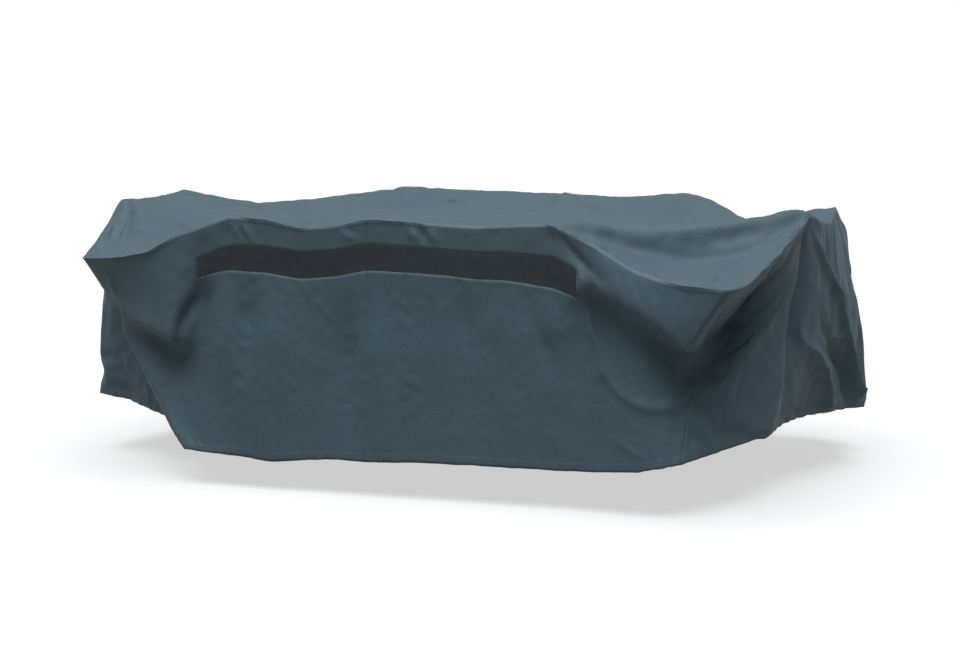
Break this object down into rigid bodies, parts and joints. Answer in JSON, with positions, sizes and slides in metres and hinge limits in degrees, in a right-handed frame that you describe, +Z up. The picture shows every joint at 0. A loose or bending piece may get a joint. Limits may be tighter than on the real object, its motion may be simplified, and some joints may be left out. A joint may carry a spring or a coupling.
{
  "type": "patio furniture cover",
  "caption": "Box-shaped cloth cover draped over a patio dining set, with a sewn top panel, skirts down each side, pouched corners and a mesh vent strip along the front.",
  "frame": {"origin": "under the middle of the top panel, where the covered furniture bears", "axes": "+X along the long side, towards the right as the vented front is faced; +Y from the vented front to the back; +Z up"},
  "size_m": [2.6516, 1.8016, 0.8101],
  "materials": {
    "top_panel": "coated cloth, soft sheen",
    "front_skirt_left": "coated cloth, soft sheen",
    "front_skirt_right": "coated cloth, soft sheen",
    "vent_mesh": "open mesh, matt",
    "end_skirt_right": "coated cloth, soft sheen",
    "back_skirt": "coated cloth, soft sheen",
    "end_skirt_left": "coated cloth, soft sheen"
  },
  "bodies": {
    "root": {"top_panel": "top_panel", "front_skirt_left": "front_skirt_left", "front_skirt_right": "front_skirt_right", "vent_mesh": "vent_mesh", "end_skirt_right": "end_skirt_right", "back_skirt": "back_skirt", "end_skirt_left": "end_skirt_left"}
  },
  "joints": []
}
